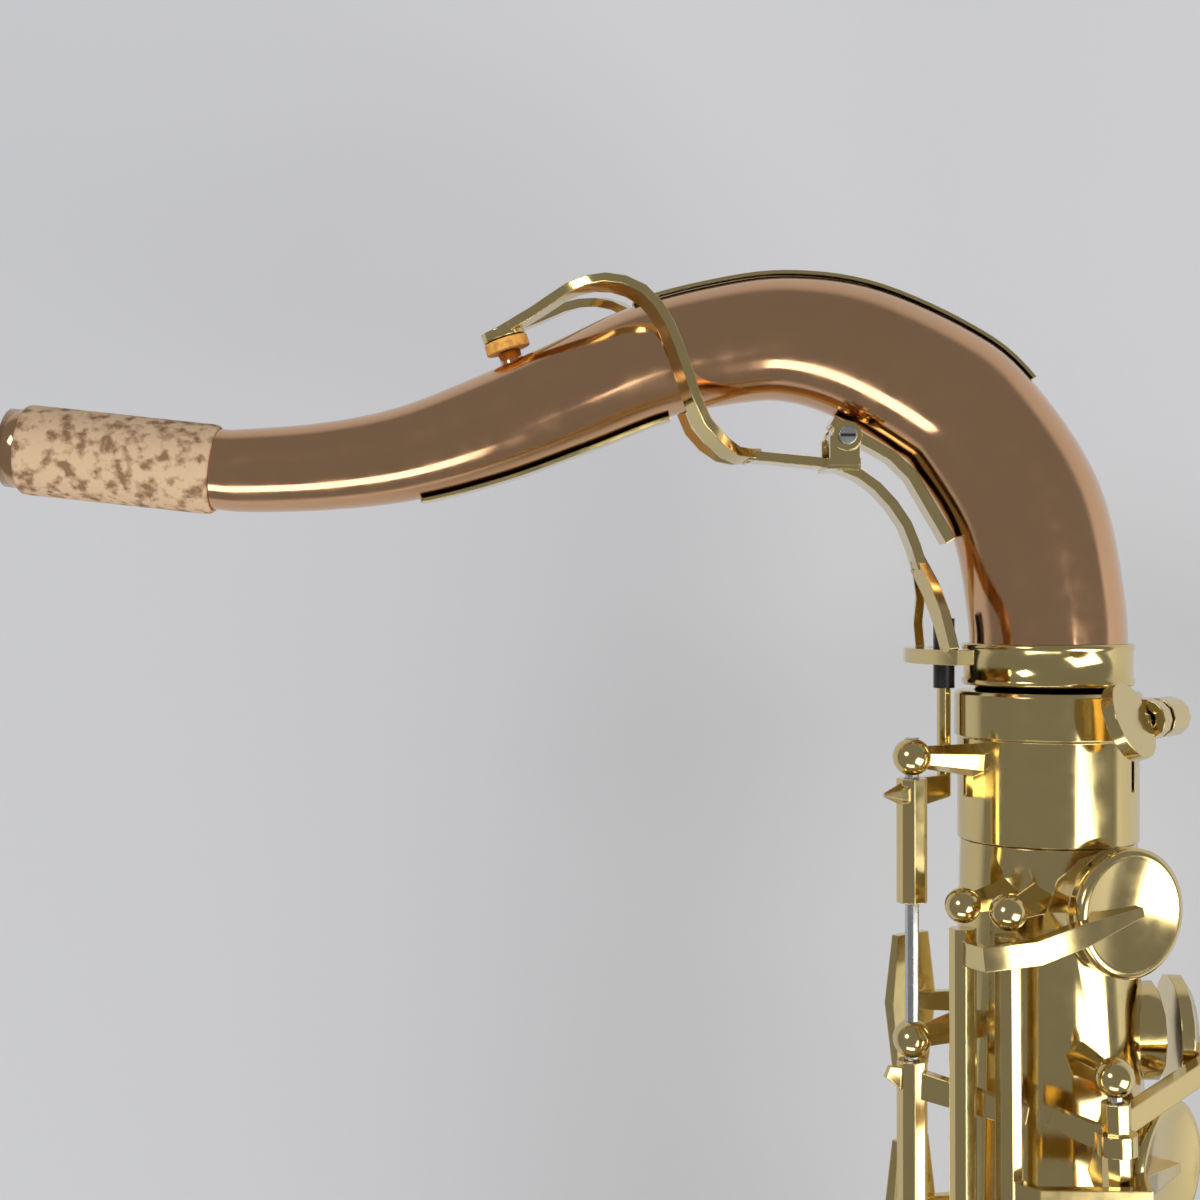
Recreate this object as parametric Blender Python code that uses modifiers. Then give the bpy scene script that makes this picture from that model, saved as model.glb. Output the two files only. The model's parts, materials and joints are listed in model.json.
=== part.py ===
"""Tenor saxophone, lying on its left side.

The instrument is modelled upright in its own frame and then laid down by one parent empty.
In the instrument frame x points from the player to the bell, y up the body towards the neck and
z to the player's right. Its origin is on the body axis, level with the top of the neck receiver.
Every size and place below is in millimetres and degrees; each helper builds its mesh in metres.
"""
import math

import bmesh
import bpy
from mathutils import Matrix, Vector

MM = 0.001
GAP = 0.3

# Pose of the instrument on the surface it lies on: it rests on the bell rim, a guard and the cork.
REST_ROLL = 12.8
REST_PITCH = 1.0

# Conical body, from the receiver down to the bow
BODY_TOP_RADIUS = 14.5
BODY_TAPER = 0.02675
BODY_WALL = 1.1
BODY_START = -19.8
BODY_END = -604.0
SPIGOT_RADIUS = 14.35
SPIGOT_END = -26.7

# Neck receiver: clamp ring and sleeve
RECEIVER_RING_RADIUS = 16.45
RECEIVER_RING_HEIGHT = 8.4
SLEEVE_RADIUS = 15.9
SLEEVE_END = -26.4
RECEIVER_BORE = 13.05
CLAMP_ANGLE = 40.0
CLAMP_DISTANCE = 19.6
CLAMP_HEIGHT = -4.3

# Neck: collar with its tenon, then centre line points with the radius of the tube at each
COLLAR_RADIUS = 15.2
COLLAR_BOTTOM = 1.0
COLLAR_TOP = 8.5
TENON_RADIUS = 12.75
TENON_END = -19.2
NECK_WALL = 0.9
NECK_LINE = (
    (-186.7, 43.6, 7.2),
    (-168.0, 41.6, 7.2),
    (-150.0, 39.8, 7.25),
    (-143.5, 39.5, 7.5),
    (-129.0, 40.3, 7.9),
    (-114.7, 42.6, 8.5),
    (-100.3, 47.2, 9.35),
    (-85.9, 53.0, 9.9),
    (-71.5, 59.0, 10.4),
    (-57.1, 62.3, 10.8),
    (-46.3, 63.1, 11.2),
    (-34.5, 60.6, 12.0),
    (-20.8, 53.7, 12.7),
    (-13.4, 47.3, 13.1),
    (-4.0, 32.3, 13.7),
    (-0.3, 14.4, 13.85),
    (0.0, 3.0, 13.85),
)
CORK_RADIUS = 8.1
CORK_START = 3.0
CORK_LENGTH = 34.5

# Bow: half circle between the body and the bell
BOW_RADIUS = 52.0
BOW_LEVEL = -612.0
BOW_START_RADIUS = 30.7
BOW_END_RADIUS = 36.8
BOW_WALL = 1.2

# Bell: axis leaning away from the body, and its outline as distance along the axis and radius
BELL_LEAN = 4.0
BELL_WALL = 1.3
BELL_LINE = (
    (2.8, 36.9),
    (60.0, 38.4),
    (120.0, 41.0),
    (180.0, 45.0),
    (235.0, 51.5),
    (275.0, 59.0),
    (305.0, 67.5),
    (322.0, 73.5),
    (331.0, 76.3),
)
BELL_RIM_BEAD = 1.7

# Keywork sizes
CUP_EDGE = 1.3
PAD_GAP = 0.35
POST_BALL = 3.3
TUBE_RADIUS = 2.3
STACK_TUBE_RADIUS = 2.45
OCTAVE_TUBE_RADIUS = 2.65
ROD_RADIUS = 1.2
ROD_BORE = 1.55

BRASS = ("lacquered_brass", (0.72, 0.55, 0.22), 0.16, 1.0)
BRONZE = ("rose_lacquered_bronze", (0.70, 0.40, 0.20), 0.16, 1.0)
STEEL = ("rod_steel", (0.62, 0.62, 0.60), 0.25, 1.0)
CORK = ("cork", (0.62, 0.44, 0.27), 0.85, 0.0)
FELT = ("octave_pad_cork", (0.85, 0.50, 0.12), 0.75, 0.0)
BLACK = ("black_plastic", (0.015, 0.015, 0.015), 0.35, 0.0)


def start_empty():
    """Remove the scene's objects and make the collection of the parts and the one for raw pieces."""
    for item in list(bpy.data.objects):
        bpy.data.objects.remove(item, do_unlink=True)
    parts = bpy.data.collections.new("tenor_saxophone")
    pieces = bpy.data.collections.new("raw_pieces")
    bpy.context.scene.collection.children.link(parts)
    bpy.context.scene.collection.children.link(pieces)
    return parts, pieces


PARTS, PIECES = start_empty()
MATERIALS = {}
HINGES = {}
SWINGS = {}


def material(finish):
    """The Principled material of a finish, made once."""
    name, colour, roughness, metallic = finish
    if name not in MATERIALS:
        made = bpy.data.materials.new(name)
        made.use_nodes = True
        shader = made.node_tree.nodes["Principled BSDF"]
        shader.inputs["Base Color"].default_value = (*colour, 1.0)
        shader.inputs["Roughness"].default_value = roughness
        shader.inputs["Metallic"].default_value = metallic
        made.diffuse_color = (*colour, 1.0)
        MATERIALS[name] = made
    return MATERIALS[name]


def piece(mesh):
    """A raw piece: an object of the given mesh, kept apart from the finished parts."""
    made = bpy.data.objects.new("piece", mesh)
    PIECES.objects.link(made)
    return made


def piece_of(bm):
    """A raw piece of a bmesh that was built in millimetres."""
    bmesh.ops.scale(bm, vec=(MM, MM, MM), verts=bm.verts)
    bmesh.ops.recalc_face_normals(bm, faces=bm.faces)
    mesh = bpy.data.meshes.new("piece")
    bm.to_mesh(mesh)
    bm.free()
    return piece(mesh)


def evaluated(source):
    """The object with its modifiers applied, as a new raw piece; the source is removed."""
    depsgraph = bpy.context.evaluated_depsgraph_get()
    mesh = bpy.data.meshes.new_from_object(source.evaluated_get(depsgraph))
    mesh.transform(source.matrix_world)
    bpy.data.objects.remove(source, do_unlink=True)
    return piece(mesh)


def boolean(base, others, operation, solver="EXACT"):
    """The base joined with, or cut by, the other pieces, which are used up."""
    for other in others:
        step = base.modifiers.new("boolean", "BOOLEAN")
        step.operation = operation
        step.solver = solver
        step.object = other
    made = evaluated(base)
    for other in others:
        bpy.data.objects.remove(other, do_unlink=True)
    return made


def union(pieces, solver="EXACT"):
    return boolean(pieces[0], pieces[1:], "UNION", solver)


def cut(base, cutters, solver="EXACT"):
    return boolean(base, cutters, "DIFFERENCE", solver)


def turn_to(direction):
    """Rotation that takes +Z to the direction."""
    return Vector((0.0, 0.0, 1.0)).rotation_difference(Vector(direction).normalized()).to_matrix().to_4x4()


def turned(profile, steps, base=(0.0, 0.0, 0.0), axis=(0.0, 1.0, 0.0), closed=True):
    """A turned piece: the profile's (radius, height) points run down its outer side and back."""
    mesh = bpy.data.meshes.new("profile")
    corners = [(radius * MM, 0.0, height * MM) for radius, height in profile]
    edges = [(index, index + 1) for index in range(len(corners) - 1)]
    if closed:
        edges.append((len(corners) - 1, 0))
    mesh.from_pydata(corners, edges, [])
    made = piece(mesh)
    made.matrix_world = Matrix.Translation(Vector(base) * MM) @ turn_to(axis)
    screw = made.modifiers.new("turn", "SCREW")
    screw.axis = "Z"
    screw.steps = steps
    screw.render_steps = steps
    screw.use_merge_vertices = True
    screw.merge_threshold = 0.00001
    return evaluated(made)


def rod(start, end, radius, sides, end_radius=None):
    """A straight round bar, tapered where an end radius is given."""
    start = Vector(start)
    end = Vector(end)
    far_radius = radius if end_radius is None else end_radius
    place = Matrix.Translation((start + end) / 2) @ turn_to(end - start)
    bm = bmesh.new()
    bmesh.ops.create_cone(
        bm,
        cap_ends=True,
        segments=sides,
        radius1=radius,
        radius2=far_radius,
        depth=(end - start).length,
        matrix=place,
    )
    return piece_of(bm)


def ball(centre, radius, sides=8, rings=6):
    bm = bmesh.new()
    bmesh.ops.create_uvsphere(
        bm, u_segments=sides, v_segments=rings, radius=radius, matrix=Matrix.Translation(Vector(centre))
    )
    return piece_of(bm)


def block(centre, size, rotation=None):
    """A box with its centre, its size along its own axes and an optional rotation."""
    turn = Matrix.Identity(4) if rotation is None else rotation.to_4x4()
    bm = bmesh.new()
    bmesh.ops.create_cube(
        bm, size=1.0, matrix=Matrix.Translation(Vector(centre)) @ turn @ Matrix.Diagonal((*size, 1.0))
    )
    return piece_of(bm)


def bar(points, side, widths, thicknesses):
    """A flat bar lofted through the points: its width lies along side, made square to the bar."""
    points = [Vector(item) for item in points]
    count = len(points)
    sides = side if isinstance(side[0], (tuple, list, Vector)) else [side] * count
    widths = widths if isinstance(widths, (tuple, list)) else [widths] * count
    thicknesses = thicknesses if isinstance(thicknesses, (tuple, list)) else [thicknesses] * count
    bm = bmesh.new()
    rings = []
    for index in range(count):
        before = points[max(index - 1, 0)]
        after = points[min(index + 1, count - 1)]
        along = (after - before).normalized()
        across = Vector(sides[index])
        across = (across - along * across.dot(along)).normalized()
        upward = along.cross(across)
        half_width = across * widths[index] / 2
        half_thick = upward * thicknesses[index] / 2
        near = half_width + half_thick
        far = half_thick - half_width
        corners = (near, far, -near, -far)
        rings.append([bm.verts.new(points[index] + corner) for corner in corners])
    for ring, following in zip(rings, rings[1:]):
        for corner in range(4):
            other = (corner + 1) % 4
            bm.faces.new((ring[corner], ring[other], following[other], following[corner]))
    bm.faces.new(rings[0])
    bm.faces.new(list(reversed(rings[-1])))
    return piece_of(bm)


def hose(points, radii, resolution):
    """A round tube through the points, made from a curve with filled caps."""
    curve = bpy.data.curves.new("hose", "CURVE")
    curve.dimensions = "3D"
    curve.bevel_depth = MM
    curve.bevel_resolution = resolution
    curve.use_fill_caps = True
    spline = curve.splines.new("POLY")
    spline.points.add(len(points) - 1)
    for control, place, radius in zip(spline.points, points, radii):
        control.co = (*(Vector(place) * MM), 1.0)
        control.radius = radius
    source = bpy.data.objects.new("hose", curve)
    PIECES.objects.link(source)
    made = evaluated(source)
    bm = bmesh.new()
    bm.from_mesh(made.data)
    bmesh.ops.remove_doubles(bm, verts=bm.verts, dist=0.00001)
    bmesh.ops.recalc_face_normals(bm, faces=bm.faces)
    bm.to_mesh(made.data)
    bm.free()
    bpy.data.curves.remove(curve)
    return made


def smooth_line(points, spans):
    """Points of a Catmull-Rom curve through the given ones, with that many steps between two."""
    rows = [Vector(item) for item in points]
    rows = [rows[0] * 2 - rows[1]] + rows + [rows[-1] * 2 - rows[-2]]
    made = []
    for before, start, end, after in zip(rows, rows[1:], rows[2:], rows[3:]):
        for step in range(spans):
            t = step / spans
            made.append(
                (
                    start * 2
                    + (end - before) * t
                    + (before * 2 - start * 5 + end * 4 - after) * t * t
                    + (start * 3 - before - end * 3 + after) * t * t * t
                )
                / 2
            )
    made.append(rows[-2])
    return made


def body_radius(height):
    return BODY_TOP_RADIUS - BODY_TAPER * height


def outward(angle):
    """Unit vector square to the body axis, at an angle from the front towards the player's right."""
    turn = math.radians(angle)
    return Vector((math.cos(turn), 0.0, math.sin(turn)))


def around(height, angle, distance):
    """Point at a height, an angle round the body and a distance from its axis."""
    return outward(angle) * distance + Vector((0.0, height, 0.0))


class Line:
    """A hinge line between two points; at() gives its point at a height."""

    def __init__(self, top, bottom):
        self.top = Vector(top)
        self.bottom = Vector(bottom)
        self.direction = (self.top - self.bottom).normalized()

    def at(self, height):
        share = (height - self.top.y) / (self.bottom.y - self.top.y)
        return self.top.lerp(self.bottom, share)


def finish_part(name, made, finish, hinge=None, angle=35.0):
    """Name a finished solid, set its material and put its origin on its hinge, with +Y along it."""
    place = Matrix.Identity(4)
    if hinge is not None:
        spot, direction = hinge
        direction = Vector(direction).normalized()
        turn = Vector((0.0, 1.0, 0.0)).rotation_difference(direction).to_matrix().to_4x4()
        place = Matrix.Translation(Vector(spot) * MM) @ turn
        made.data.transform(place.inverted())
        HINGES[name] = place
    made.name = name
    made.data.name = name
    made.data.materials.clear()
    made.data.materials.append(material(finish))
    made.data.shade_smooth()
    made.data.set_sharp_from_angle(angle=math.radians(angle))
    PIECES.objects.unlink(made)
    PARTS.objects.link(made)
    made.parent = LYING
    made.matrix_basis = place
    return made


LYING = bpy.data.objects.new("lying_pose", None)
PARTS.objects.link(LYING)
POSTS = []


def post(line, height, foot_angle, radius=POST_BALL):
    """A ball post: the ball on the hinge line and a tapered stem down to the body."""
    centre = line.at(height)
    foot = around(height, foot_angle, body_radius(height) - 0.6)
    POSTS.append(ball(centre, radius, 6, 4))
    POSTS.append(rod(centre, foot, radius * 0.55, 5, radius * 0.95))


def hinge_tube(line, top, bottom, radius=TUBE_RADIUS):
    return rod(line.at(bottom), line.at(top), radius, 8)


def cup(centre, normal, radius, thickness, steps=16):
    """A pad cup: the pad face lies at the centre, and the rounded cup stands on it."""
    profile = (
        (0.0, thickness),
        (radius * 0.8, thickness),
        (radius, thickness - 1.2),
        (radius, 0.0),
        (0.0, 0.0),
    )
    return turned(profile, steps, base=centre, axis=normal, closed=False)


def arm_over(line, height, centre, normal, radius, thickness, via=()):
    """The tapered arm from the hinge line, by way of any points given, over the cup's rim."""
    top = Vector(centre) + Vector(normal) * (thickness - 0.2)
    root = line.at(height)
    toward = root - top
    toward = (toward - Vector(normal) * toward.dot(Vector(normal))).normalized()
    rim = top + toward * (radius + 0.5) + Vector(normal) * 0.9
    near = top - toward * radius * 0.15 + Vector(normal) * 0.5
    count = len(via) + 2
    return bar((root, *via, rim, near), line.direction, [4.0] * count + [1.6], [2.2] * count + [1.6])


def swing_sign(line, centre, normal):
    """The sense about the hinge line in which the cup rises."""
    arm = Vector(centre) - line.at(Vector(centre).y)
    return 1.0 if line.direction.cross(arm).dot(Vector(normal)) > 0 else -1.0


def key(name, pieces, line, height, centre, normal, lift, stands_open, finish=BRASS):
    """A key on its hinge line. An open key is modelled shut and then raised by its lift."""
    made = union(pieces)
    spot = line.at(height)
    arm = (Vector(centre) - line.at(Vector(centre).y)).length
    swing = math.degrees(lift / arm) * swing_sign(line, centre, normal)
    if stands_open:
        spin = Matrix.Rotation(math.radians(swing), 4, line.direction)
        place = Matrix.Translation(spot * MM)
        made.data.transform(place @ spin @ place.inverted())
        swing = -swing
    SWINGS[name] = swing
    return finish_part(name, made, finish, (spot, line.direction))


# Tone holes and cups on the body: height, angle from the front towards the right, cup radius,
# height of the chimney and thickness of the cup
CUPS = {
    "high_fs": (-36.6, 66.0, 10.9, 2.6, 3.6),
    "high_e": (-80.8, 44.0, 11.4, 2.6, 3.6),
    "palm_f": (-52.0, -62.0, 9.0, 2.6, 3.4),
    "palm_eb": (-92.0, -64.0, 9.5, 2.6, 3.4),
    "palm_d": (-135.0, -66.0, 10.0, 2.6, 3.4),
    "c_vent": (-61.2, 0.0, 10.2, 2.6, 3.4),
    "b": (-104.0, 0.0, 12.5, 2.6, 4.0),
    "bis": (-130.0, 0.0, 9.3, 2.8, 3.6),
    "a": (-158.0, 0.0, 13.3, 3.0, 4.0),
    "g": (-205.0, 0.0, 14.5, 3.0, 4.0),
    "side_c": (-222.0, 104.0, 7.6, 2.4, 3.2),
    "side_bb": (-258.0, 82.0, 9.0, 2.4, 3.2),
    "gs": (-250.0, -24.0, 13.5, 3.0, 4.0),
    "fs": (-292.0, 0.0, 17.5, 3.2, 5.0),
    "f": (-345.0, 0.0, 19.0, 3.2, 5.0),
    "e": (-398.0, 0.0, 20.0, 3.2, 5.0),
    "d": (-455.0, 0.0, 21.3, 3.2, 5.0),
    "low_eb": (-540.0, 130.0, 19.0, 3.4, 5.0),
}

# Hinge lines, each from its top to its bottom
OCTAVE_LINE = Line((-26.6, -10.9, 12.2), (-26.6, -148.0, 12.8))
FS_LINE = Line((-19.9, -34.8, 22.0), (-20.5, -330.0, 27.5))
E_LINE = Line((-13.3, -35.2, 26.0), (-12.8, -330.0, 31.5))
STACK_LINE = Line((4.0, -62.2, 27.0), (7.5, -240.0, 30.8))
LOWER_LINE = Line((7.4, -272.0, 33.0), (8.4, -484.0, 38.0))
PALM_LINE = Line((-4.0, -42.0, -25.5), (-4.4, -165.0, -29.0))
SIDE_C_LINE = Line((-24.6, -211.0, 20.6), (-26.3, -342.0, 22.0))
SIDE_BB_LINE = Line((-6.0, -250.0, 31.6), (-6.2, -364.0, 34.6))
GS_LINE = Line((6.0, -234.0, -29.0), (6.4, -268.0, -30.0))
LOW_EB_LINE = Line((-1.3, -492.0, 38.0), (-1.3, -562.0, 39.8))
LOW_C_LINE = Line((6.9, -492.0, 38.0), (6.9, -640.0, 41.0))


def cup_place(name, gap=PAD_GAP):
    """Pad face centre, normal and sizes of a cup on the body when it is shut."""
    height, angle, radius, chimney, thickness = CUPS[name]
    distance = body_radius(height) + chimney
    return around(height, angle, distance + gap), outward(angle), radius, thickness


def chimney_pieces(name):
    """The outside of a drawn tone hole and the cutter of its hole."""
    height, angle, radius, chimney, _ = CUPS[name]
    wall = radius - CUP_EDGE
    top = body_radius(height) + chimney
    base = top - chimney - wall * wall / (2.0 * body_radius(height)) - 3.0
    tube = rod(around(height, angle, base), around(height, angle, top), wall, 12)
    hole = rod(around(height, angle, 1.0), around(height, angle, top + 2.0), wall - 1.1, 12)
    return tube, hole


def build_body():
    """Body tube: hollow cone with a spigot, drawn tone holes and the keywork's posts."""
    outer = turned(
        (
            (0.0, BODY_START),
            (SPIGOT_RADIUS, BODY_START),
            (SPIGOT_RADIUS, SPIGOT_END),
            (body_radius(SPIGOT_END) + 0.3, SPIGOT_END),
            (body_radius(BODY_END), BODY_END),
            (0.0, BODY_END),
        ),
        20,
        closed=False,
    )
    bore = rod(
        (0.0, BODY_END - 1.0, 0.0), (0.0, BODY_START + 1.0, 0.0),
        body_radius(BODY_END) - BODY_WALL - 0.8, 20, SPIGOT_RADIUS - BODY_WALL - 0.3,
    )
    tubes = []
    holes = []
    for name in CUPS:
        tube, hole = chimney_pieces(name)
        tubes.append(tube)
        holes.append(hole)
    for height, foot in ((-59.5, 172.0), (-148.0, 160.0)):
        post(OCTAVE_LINE, height, foot)
    for height in (-34.8, -200.0, -388.0):
        post(FS_LINE, height, 132.0, 3.0)
    for height in (-35.2, -196.0, -316.0):
        post(E_LINE, height, 112.0, 3.1)
    for height in (-62.2, -118.0, -182.0, -240.0):
        post(STACK_LINE, height, 84.0)
    for height in (-272.0, -320.0, -428.0, -484.0):
        post(LOWER_LINE, height, 84.0)
    for height in (-42.0, -75.0, -117.0, -165.0):
        post(PALM_LINE, height, -98.0, 2.8)
    for line, heights, foot in (
        (SIDE_C_LINE, (-208.0, -346.0), 142.0),
        (SIDE_BB_LINE, (-248.0, -366.0), 101.0),
        (GS_LINE, (-232.0, -270.0), -78.0),
        (LOW_EB_LINE, (-492.0, -564.0), 94.0),
    ):
        for height in heights:
            post(line, height, foot, 2.7)
    post(LOW_C_LINE, -492.0, 76.0, 2.7)
    made = union([outer] + tubes, "MANIFOLD")
    made = cut(made, [bore] + holes, "MANIFOLD")
    made = union([made] + POSTS, "MANIFOLD")
    cutters = [
        rod(line.top + line.direction * 9.0, line.bottom - line.direction * 9.0, ROD_BORE, 8)
        for line in (OCTAVE_LINE, STACK_LINE, LOWER_LINE)
    ]
    made = cut(made, cutters, "MANIFOLD")
    finish_part("body_tube", made, BRASS)


def build_receiver():
    """Receiver: split clamp ring with two ears, and the sleeve over the body's spigot."""
    made = turned(
        (
            (15.9, 0.0),
            (RECEIVER_RING_RADIUS, -0.6),
            (RECEIVER_RING_RADIUS, -8.0),
            (SLEEVE_RADIUS, -RECEIVER_RING_HEIGHT),
            (SLEEVE_RADIUS, SLEEVE_END),
            (SPIGOT_RADIUS + GAP, SLEEVE_END),
            (SPIGOT_RADIUS + GAP, BODY_START + 0.4),
            (RECEIVER_BORE, BODY_START + 0.4),
            (RECEIVER_BORE, 0.0),
        ),
        32,
    )
    centre = around(CLAMP_HEIGHT, CLAMP_ANGLE, CLAMP_DISTANCE)
    along = outward(CLAMP_ANGLE + 90.0)
    inward = -outward(CLAMP_ANGLE)
    ears = rod(centre - along * 8.0, centre + along * 3.4, 3.5, 12)
    web = block(
        centre - along * 2.3 + inward * 2.4, (5.2, 6.4, 11.4), turn_to(along).to_3x3()
    )
    post_place = OCTAVE_LINE.at(-10.9)
    stem = rod(post_place, around(-12.0, 156.0, 15.2), 1.8, 6, 3.0)
    shell = union([made, ears, web, ball(post_place, POST_BALL, 8, 6), stem])
    bore = rod((0.0, -18.0, 0.0), (0.0, 4.0, 0.0), RECEIVER_BORE, 32)
    rod_hole = rod(OCTAVE_LINE.at(-16.0), OCTAVE_LINE.at(-4.0), ROD_BORE, 8)
    gap = block(
        centre - along * 0.4 + inward * 3.0, (14.0, 26.0, 1.4), turn_to(along).to_3x3()
    )
    shaft = rod(centre - along * 7.2, centre + along * 5.0, 1.85, 10)
    finish_part("neck_receiver", cut(shell, [bore, gap, shaft, rod_hole]), BRASS)
    screw = rod(centre - along * 6.9, centre + along * 5.5, 1.5, 8)
    head = rod((0.0, 0.0, -1.1), (0.0, 0.0, 1.1), 6.7, 20)
    tilt = Matrix.Rotation(math.radians(22.0), 4, along)
    facing = along.cross(Vector((0.0, 1.0, 0.0))).normalized()
    head.data.transform(turn_to(facing))
    head.data.transform(tilt)
    head.data.transform(Matrix.Translation((centre + along * 10.6) * MM))
    made = union([screw, head])
    finish_part("receiver_clamp_screw", made, BRASS, (centre, along))


def neck_frames(spans=3):
    """Points along the neck with the tube's radius and the outward side of its bend at each."""
    rows = smooth_line(NECK_LINE, spans)
    centres = [Vector((row.x, row.y, 0.0)) for row in rows]
    radii = [row.z for row in rows]
    frames = []
    for index, (centre, radius) in enumerate(zip(centres, radii)):
        before = centres[max(index - 1, 0)]
        after = centres[min(index + 1, len(centres) - 1)]
        along = (after - before).normalized()
        frames.append((centre, radius, Vector((-along.y, along.x, 0.0)), along))
    return frames


def build_neck():
    """Neck tube, collar with tenon, cork, braces along the tube and the key's saddle."""
    frames = neck_frames(1)
    centres = [frame[0] for frame in frames]
    outer = hose(centres, [frame[1] for frame in frames], 5)
    start = centres[0] - frames[0][3]
    end = centres[-1] + frames[-1][3]
    line = [start] + centres[1:-1] + [end]
    bore = hose(line, [frame[1] - NECK_WALL - 0.3 for frame in frames], 3)
    pip_top = PAD_TOP - PAD_AXIS * 2.2
    pip = rod(pip_top - PAD_AXIS * 4.7, pip_top, 2.1, 10)
    made = cut(union([outer, pip]), [bore])
    finish_part("neck_tube", made, BRONZE)
    profile = (
        (COLLAR_RADIUS - 0.4, COLLAR_TOP),
        (COLLAR_RADIUS, COLLAR_TOP - 0.5),
        (COLLAR_RADIUS, COLLAR_BOTTOM + 0.5),
        (COLLAR_RADIUS - 0.4, COLLAR_BOTTOM),
        (TENON_RADIUS, COLLAR_BOTTOM),
        (TENON_RADIUS, TENON_END),
        (TENON_RADIUS - 0.9, TENON_END),
        (TENON_RADIUS - 0.9, COLLAR_BOTTOM + 0.9),
        (14.25, COLLAR_BOTTOM + 0.9),
        (14.25, COLLAR_TOP),
    )
    finish_part("neck_collar", turned(profile, 32), BRASS)
    axis = frames[1][3]
    tip = centres[0]
    cork = rod(tip + axis * CORK_START, tip + axis * (CORK_START + CORK_LENGTH), CORK_RADIUS, 24)
    inner = rod(tip, tip + axis * (CORK_START + CORK_LENGTH + 4.0), 7.75, 24)
    finish_part("neck_cork", cut(cork, [inner]), CORK)
    top = [item for item in frames if item[0].x > -75.0]
    strip = [item[0] + item[2] * (item[1] + GAP + 0.55) for item in top[:-3]]
    finish_part("neck_top_brace", bar(strip, (0.0, 0.0, 1.0), 6.0, 0.9), BRASS)
    under = [item for item in frames if -115.0 < item[0].x < -70.0]
    strip = [item[0] - item[2] * (item[1] + GAP + 0.6) for item in under]
    finish_part("neck_under_brace", bar(strip, (0.0, 0.0, 1.0), 6.0, 1.0), BRASS)
    inside = [item for item in frames if item[0].x > -46.0 and item[0].y > 22.0]
    strip = [item[0] - item[2] * (item[1] + GAP + 1.0) for item in inside]
    saddle = rod(KEY_PIVOT + Vector((0, 0, -4.2)), KEY_PIVOT + Vector((0, 0, 4.2)), 2.5, 10)
    stem = block(KEY_PIVOT + Vector((-0.4, 0.6, 0.0)), (3.2, 2.4, 6.0))
    rib = union([bar(strip, (0.0, 0.0, 1.0), 6.4, 1.9), stem, saddle])
    screw_hole = rod(KEY_PIVOT + Vector((0, 0, -9)), KEY_PIVOT + Vector((0, 0, 9)), 1.3, 8)
    finish_part("neck_rib", cut(rib, [screw_hole]), BRASS)


KEY_PIVOT = Vector((-36.9, 45.2, 0.0))
PAD_TOP = Vector((-97.5, 62.9, 0.0))
PAD_AXIS = Vector((-0.30, 0.95, 0.0)).normalized()
LOOP = (
    (-98.6, 64.0, 0.0),
    (-91.3, 67.6, 4.2),
    (-85.2, 70.7, 8.0),
    (-79.1, 71.4, 10.4),
    (-73.2, 68.9, 12.6),
    (-69.1, 63.3, 13.4),
    (-66.1, 55.3, 13.6),
    (-63.0, 47.2, 11.8),
    (-57.6, 42.3, 6.0),
    (-53.0, 42.0, 0.0),
)
TAIL = (
    (-54.5, 42.0, 0.0),
    (-46.0, 41.2, 0.0),
    (-37.5, 40.0, 0.0),
    (-31.2, 36.5, 0.0),
    (-25.8, 29.7, 0.0),
    (-23.0, 21.8, 0.0),
)
FORK = (
    (-23.6, 23.0, 0.6),
    (-21.9, 18.0, 5.0),
    (-21.2, 13.0, 11.0),
    (-20.2, 7.0, 13.9),
)
STIRRUP_LEVEL = 6.3
STIRRUP_RADIUS = 23.4


def mirrored(points):
    return [(x, y, -z) for x, y, z in points]


def build_neck_key():
    """Octave key of the neck: loop round the neck, tail, fork and the stirrup round the pin."""
    loop = [tuple(item) for item in smooth_line(LOOP, 2)]
    near = bar(loop, (0.3, 0.2, 1.0), 4.2, 1.7)
    far = bar(mirrored(loop), (0.3, 0.2, -1.0), 4.1, 1.6)
    tail = bar(smooth_line(TAIL, 2), (0.0, 0.0, 1.0), 7.0, 1.7)
    prongs = [
        bar(FORK, (0.2, 0.0, 1.0), 4.0, 1.7),
        bar(mirrored(FORK), (0.2, 0.0, -1.0), 3.9, 1.6),
    ]
    arc = []
    for step in range(9):
        arc.append(around(STIRRUP_LEVEL, 180.0 - 40.0 + 10.0 * step, STIRRUP_RADIUS))
    stirrup = bar(arc, (0.0, 1.0, 0.0), 2.6, 4.2)
    ears = []
    for side_z in (-5.6, 5.6):
        centre = KEY_PIVOT + Vector((0.0, 0.0, side_z))
        ears.append(rod(centre - Vector((0, 0, 0.8)), centre + Vector((0, 0, 0.8)), 2.7, 12))
        ears.append(block(centre + Vector((-0.4, -2.6, 0.0)), (5.2, 5.2, 1.5)))
    plate = block(KEY_PIVOT + Vector((-0.6, -4.9, 0.0)), (6.0, 1.9, 12.6))
    holder = rod(PAD_TOP + PAD_AXIS * 0.3, PAD_TOP + PAD_AXIS * 2.0, 4.0, 12)
    made = union([tail, near, far, plate, holder, stirrup] + prongs + ears)
    hole = rod(KEY_PIVOT + Vector((0, 0, -9)), KEY_PIVOT + Vector((0, 0, 9)), 1.3, 8)
    finish_part("neck_octave_key", cut(made, [hole]), BRASS, (KEY_PIVOT, (0.0, 0.0, 1.0)))
    pad = rod(PAD_TOP - PAD_AXIS * 1.9, PAD_TOP, 4.0, 14)
    finish_part("neck_octave_pad", pad, FELT, (KEY_PIVOT, (0.0, 0.0, 1.0)))
    screw = rod(KEY_PIVOT + Vector((0, 0, -6.8)), KEY_PIVOT + Vector((0, 0, 6.9)), 1.0, 8)
    finish_part("neck_key_screw", screw, STEEL)


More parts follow.
